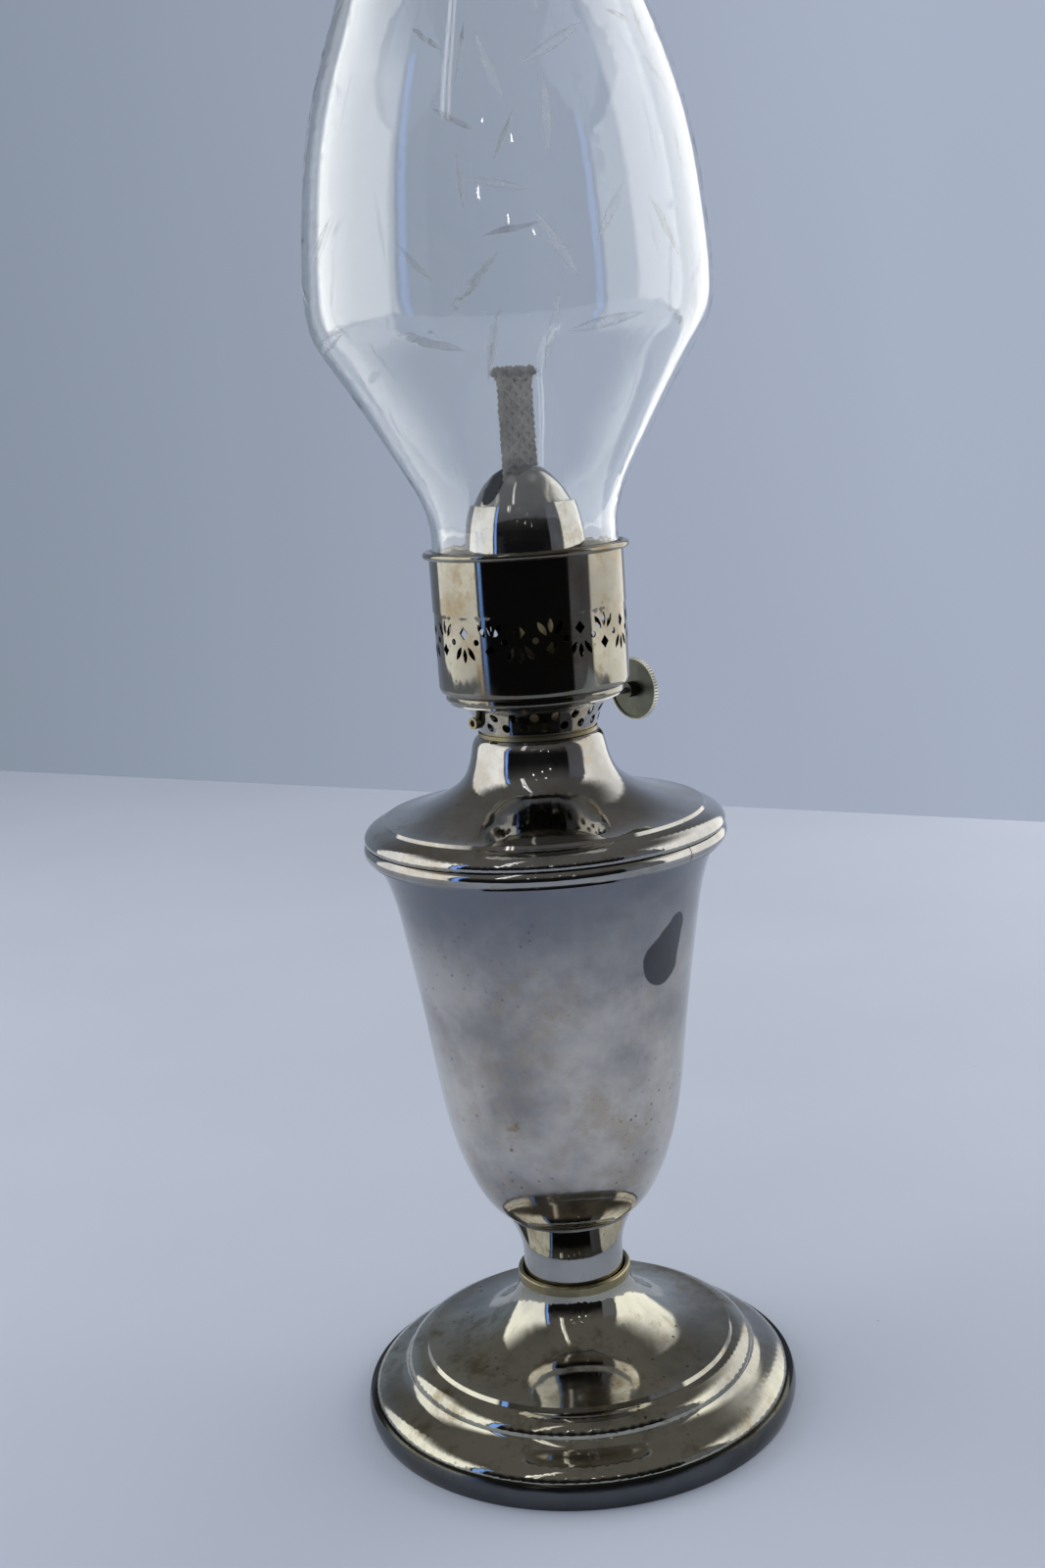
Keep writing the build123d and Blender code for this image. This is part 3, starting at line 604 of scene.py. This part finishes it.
def makeWick():
    v = wickValues
    low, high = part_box("wick")
    half = (high - low) / 2
    radius = v["strandRadius"]
    empty = bpy.data.meshes.new("wickHolder")
    plait = wickTree().run(empty, "plaited_wick", {
        "Strands": v["strands"],
        "Steps": v["steps"],
        "Length": high.z - low.z,
        "Half Width": half.x - radius * 0.9,
        "Half Depth": half.y - radius * 0.9,
        "Pitch": v["plaitPitch"],
        "Strand Radius": radius,
        "Flare": v["flare"],
        "Flare Depth": v["flareDepth"],
        "Flare Height": v["flareHeight"],
        "Ripple": v["ripple"],
        "Wobble": v["wobble"],
        "Wobble Scale": v["wobbleScale"],
        "Material": materials["cotton"],
    })
    plait.data.transform(Matrix.Translation((0, 0, low.z)))
    work = wickCore(low, high)
    rng = np.random.default_rng(v["seed"])
    for _ in range(v["fibres"]):  # loose ends that stand out of the cut end
        way = rng.uniform(0, 2 * math.pi)
        x, y = math.cos(way) * half.x * rng.uniform(1.0, 1.2), math.sin(way) * half.y * rng.uniform(1.2, 2.2)
        lean = Vector((x / half.x * 0.5 + rng.normal(0, 0.35), y / half.y * 0.5 + rng.normal(0, 0.4), 1))
        lean.normalize()
        length = v["fibreLength"] * rng.uniform(0.35, 1.0)
        start = Vector((x, y, high.z - v["fibreStart"]))
        bend = Vector((rng.normal(0, 0.3), rng.normal(0, 0.3), -0.1)) * length * 0.4
        rings = []
        for step in range(v["fibreRings"]):
            t = step / (v["fibreRings"] - 1)
            centre = start + lean * length * t + bend * t * t
            centre.z = min(centre.z, high.z - 0.1 * mm)
            width = v["fibreWidth"] * (1 - 0.7 * t)
            rings.append([
                work.verts.new(centre + Vector((math.cos(a), math.sin(a), 0)) * width)
                for a in (0, 2 * math.pi / 3, 4 * math.pi / 3)
            ])
        for below, above in zip(rings, rings[1:]):
            for k in range(3):
                work.faces.new((below[k], below[(k + 1) % 3], above[(k + 1) % 3], above[k]))
        work.faces.new(rings[0][::-1])
        work.faces.new(rings[-1])
    core = bpy.data.meshes.new("wick_core")
    work.to_mesh(core)
    work.free()
    core.materials.append(materials["cotton"])
    inner = bpy.data.objects.new("wick_core", core)
    scene.collection.objects.link(inner)
    for piece in (plait, inner):
        for polygon in piece.data.polygons:
            polygon.use_smooth = True
        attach(piece, "wick")
    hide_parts("wick")
    return plait


print("stage 3: wick")
makeWick()

# wheel-cut sprays on the glass: leaves placed on a flat sheet, then wrapped round the chimney
sprayValues = {
    "sprays": 4,
    "firstTurn": -120.0,  # degrees from +X to the first stem
    "leafLength": 30 * mm,
    "leafWidth": 4.6 * mm,
    "leafDepth": 0.12 * mm,
    "leaves": 4,
    "stemLow": 368 * mm,
    "stemHigh": 468 * mm,
    "sway": 9 * mm,
    "waves": 2.2,  # half waves of sway up the stem
    "seed": 3,
    "rows": 12,  # of faces along a leaf
    "stand": 0.06 * mm,
    "wrapRadius": 60 * mm,
}


def leafMesh(length, width, depth):  # a slender pointed cut with a flat back and a raised middle, in X and Z
    rows, verts, faces = sprayValues["rows"], [], []
    for i in range(rows + 1):
        t = i / rows
        half = max(width / 2 * math.sin(math.pi * t) ** 0.9 * (1 - 0.25 * t), 0.02 * mm)
        verts += [(-half, 0, t * length), (0, -depth, t * length), (half, 0, t * length)]
    for i in range(rows):
        a = i * 3
        faces += [(a, a + 1, a + 4, a + 3), (a + 1, a + 2, a + 5, a + 4), (a, a + 3, a + 5, a + 2)]
    last = rows * 3
    faces += [(0, 2, 1), (last, last + 1, last + 2)]
    mesh = bpy.data.meshes.new("cutLeaf")
    mesh.from_pydata(verts, [], faces)
    return bpy.data.objects.new("cutLeaf", mesh)


def sprayTree():
    tree = Tree("cutSprays", {"Leaf": ("Object", None), "Material": ("Material", None)})
    leaf = tree.node("GeometryNodeObjectInfo", {"transform_space": "ORIGINAL"}, {0: tree.entry("Leaf")}, out=4)
    turn = tree.node("GeometryNodeInputNamedAttribute", {"data_type": "FLOAT"}, {"Name": "turn"})
    size = tree.node("GeometryNodeInputNamedAttribute", {"data_type": "FLOAT"}, {"Name": "size"})
    rotation = tree.node("ShaderNodeCombineXYZ", {}, {1: turn})
    spray = tree.node("GeometryNodeInstanceOnPoints", {}, {
        "Points": tree.entry("Geometry"), "Instance": leaf, "Rotation": rotation, "Scale": size,
    })
    tree.finish(spray, tree.entry("Material"))
    return tree


def glassRadius():  # heights and outer radii of the chimney, read from the frame
    places = np.array([v.co for v in frame["nodes"]["chimney"].data.vertices])
    heights, radii = places[:, 2], np.hypot(places[:, 0], places[:, 1])
    bins = np.round(heights, 4)
    levels = np.unique(bins)
    return levels, np.array([radii[bins == level].max() for level in levels])


def makeSprays():
    v = sprayValues
    points, turns, sizes = [], [], []
    rng = np.random.default_rng(v["seed"])
    around = 2 * math.pi * v["wrapRadius"]
    rise = v["stemHigh"] - v["stemLow"]
    for number in range(v["sprays"]):
        base = math.radians(v["firstTurn"]) * v["wrapRadius"] + around * number / v["sprays"]
        for k in range(v["leaves"] + 1):
            t = k / v["leaves"]
            x = base + v["sway"] * math.sin(v["waves"] * math.pi * t)
            z = v["stemLow"] + rise * t
            slope = v["sway"] * v["waves"] * math.pi * math.cos(v["waves"] * math.pi * t)
            heading = math.atan2(slope, rise)
            for side in (-1, 1):
                points.append((x + side * 3 * mm, 0, z + side * 5 * mm))
                turns.append(heading + side * rng.uniform(0.35, 0.95))
                sizes.append((1 - 0.2 * t) * rng.uniform(0.6, 1.0))
    holder = bpy.data.meshes.new("sprayPoints")
    holder.from_pydata(points, [], [])
    for name, values in (("turn", turns), ("size", sizes)):
        holder.attributes.new(name, "FLOAT", "POINT").data.foreach_set("value", values)
    leaf = leafMesh(v["leafLength"], v["leafWidth"], v["leafDepth"])
    sprays = sprayTree().run(holder, "cut_sprays", {"Leaf": leaf, "Material": materials["frost"]})
    levels, radii = glassRadius()
    for vertex in sprays.data.vertices:
        angle = vertex.co.x / v["wrapRadius"]
        radius = np.interp(vertex.co.z, levels, radii) + v["stand"] - vertex.co.y
        vertex.co = (radius * math.cos(angle), radius * math.sin(angle), vertex.co.z)
    bpy.data.objects.remove(leaf)
    for polygon in sprays.data.polygons:
        polygon.use_smooth = True
    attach(sprays, "chimney")
    return sprays


print("stage 4: cut sprays")
makeSprays()

# studio
studioValues = {
    "tableColour": (0.56, 0.60, 0.69),
    # the drape is painted darker on the left and lighter on the right: painted light across the backdrop
    "drapeLeft": (0.255, 0.300, 0.375),
    "drapeRight": (0.400, 0.452, 0.570),
    # painted shade in the drape's folds: how much darker, and the colour
    "drapeFold": 0.07,
    "foldShadeColour": (0.12, 0.14, 0.18),
    "darkRoom": (0.011, 0.011, 0.013),
    "ceiling": (0.165, 0.160, 0.155),
    "fill": (0.40, 0.43, 0.49),
    "tableFront": 0.62,
    "tableBack": 1.045,
    "tableHalfWidth": 1.5,
    "backTurn": 30.0,  # degrees, the back edge against the camera's view
    "panelDistance": 1.2,
    "panels": (  # centre and width in degrees from the camera's side, low and high edge, colour, strength
        (-96, 66, -0.55, 1.25, (1.0, 0.99, 0.96), 2.1),
        (113, 74, -0.55, 1.25, (1.0, 0.98, 0.93), 2.1),
    ),
    # what shines back from metal and glass: centre, half width, low, high and soft edge in degrees, colour
    "windows": (
        (-97, 33, -34, 40, 3.5, (1.9, 1.9, 1.88)),
        (113, 37, -34, 40, 4.5, (1.9, 1.88, 1.82)),
        (-58.8, 2.3, -28, 40, 1.0, (0.42, 0.78, 1.9)),
        (61, 13, -30, 34, 2.0, (0.20, 0.21, 0.25)),
        (-34, 1.3, 30, 72, 0.6, (2.6, 2.55, 2.6)),
        (-30, 1.0, 30, 72, 0.6, (2.0, 1.95, 2.0)),
    ),
    # side in degrees and height of the small lamps
    "bulbs": ((-9, 0.95), (7, 0.86), (-13, 0.72), (2, 0.66), (15, 0.62)),
    "bulbSize": 0.014,
    "bulbColour": (1.0, 0.98, 0.97),
    "bulbStrength": 26.0,
}


def makeTable():
    v = studioValues
    slope = math.tan(math.radians(v["backTurn"]))
    wide = v["tableHalfWidth"]
    corners = []
    for x, y in ((-wide, -v["tableFront"]), (wide, -v["tableFront"]), (wide, v["tableBack"] - wide * slope),
                 (-wide, v["tableBack"] + wide * slope)):
        corners.append(right * x + ahead * y)
    mesh = bpy.data.meshes.new("table")
    mesh.from_pydata([tuple(c) for c in corners], [], [(0, 1, 2, 3)])
    table = bpy.data.objects.new("table", mesh)
    scene.collection.objects.link(table)
    material, shader = newMaterial("tableTop")
    cloudy = shader.noise(5, 3, 0.5)
    dust = shader.spots(40, 0.035) * shader.noise(9, 2).step(0.5, 0.6)
    darker, lighter = (tuple(c * change for c in v["tableColour"]) for change in (0.94, 1.06))
    colour = shader.mix(cloudy, darker, lighter)
    colour = shader.mix(dust * 0.5, colour, (0.25, 0.25, 0.27))
    closeMaterial(shader, {"Base Color": colour, "Roughness": 0.7})
    mesh.materials.append(material)
    if mesh.polygons[0].normal.z < 0:
        mesh.flip_normals()


def sideways(degrees):
    angle = math.radians(degrees)
    return -ahead * math.cos(angle) + right * math.sin(angle)


def addLamp(name, size, place, facing, colour, strength):
    light = bpy.data.lights.new(name, "AREA")
    light.shape = "RECTANGLE"
    light.size, light.size_y = size
    light.color = colour
    light.energy = strength * math.pi * size[0] * size[1]
    lamp = bpy.data.objects.new(name, light)
    scene.collection.objects.link(lamp)
    lamp.location = place
    lamp.rotation_euler = facing.to_track_quat("Z", "Y").to_euler()
    lamp.visible_camera = False
    return lamp


def makePanels():
    v = studioValues
    up = Vector((0, 0, 1))
    for number, (centre, wide, low, high, colour, strength) in enumerate(v["panels"]):
        away = sideways(centre)
        size = (2 * v["panelDistance"] * math.tan(math.radians(wide / 2)), high - low)
        place = away * v["panelDistance"] + up * (low + high) / 2
        panel = addLamp(f"panel{number}", size, place, away, colour, strength)
        panel.visible_glossy = panel.visible_transmission = False
    for number, (side, height) in enumerate(v["bulbs"]):
        away = sideways(side)
        size = (v["bulbSize"],) * 2
        addLamp(f"bulb{number}", size, away + up * height, away, v["bulbColour"], v["bulbStrength"])


def makeWorld():
    v = studioValues
    world = bpy.data.worlds.new("studio")
    scene.world = world
    world.use_nodes = True
    shader = Shader(world.node_tree)
    way = shader.node("ShaderNodeTexCoord", out=0)

    def along(direction):
        return shader.node("ShaderNodeVectorMath", {"operation": "DOT_PRODUCT"}, [way, tuple(direction)], out=1)

    rightward = along(right)
    folds = shader.node("ShaderNodeTexNoise", {}, {
        "Vector": shader.node("ShaderNodeMapping", {}, {0: way, 3: (1, 1, 0.25)}), "Scale": 5.0, "Detail": 2.0,
    })
    # painted light: the drape darker on the left, lighter on the right
    drape = shader.mix(rightward.step(-0.34, 0.24), v["drapeLeft"], v["drapeRight"])
    # painted shade: the drape is painted darker in its folds
    drape = shader.mix((folds - 0.5) * v["drapeFold"] * 4 + v["drapeFold"], drape, v["foldShadeColour"])
    upward = along((0, 0, 1))
    mirror = shader.mix(along(-ahead).step(-0.55, -0.25), drape, v["darkRoom"])
    mirror = shader.mix(upward.step(0.20, 0.65), mirror, v["ceiling"])
    turn = rightward.math("ARCTAN2", rightward, along(-ahead)) * math.degrees(1)
    for centre, half, low, high, edge, colour in v["windows"]:
        aside = ((turn - centre) ** 2) ** 0.5
        inside = 1 - aside.step(half - edge / 2, half + edge / 2)
        low, high, rim = math.sin(math.radians(low)), math.sin(math.radians(high)), math.radians(edge) * 2
        inside = inside * upward.step(low - rim, low + rim) * (1 - upward.step(high - rim, high + rim))
        mirror = shader.mix(inside * (0.85 + folds * 0.3), mirror, colour)
    rays = world.node_tree.nodes.new("ShaderNodeLightPath")
    reflected = Wire(shader, rays.outputs["Glossy Depth"]).step(0.4, 0.6)
    spread = Wire(shader, rays.outputs["Diffuse Depth"]).step(0.4, 0.6)
    colour = shader.mix(reflected, drape, mirror)
    colour = shader.mix(spread, colour, v["fill"])
    surface = shader.node("ShaderNodeBackground", {}, {0: colour, 1: 1.0})
    shader.node("ShaderNodeOutputWorld", {}, {0: surface})


print("stage 5: studio")
makeTable()
makePanels()
makeWorld()
scene.view_settings.view_transform = "Standard"

print("stage 6: done")
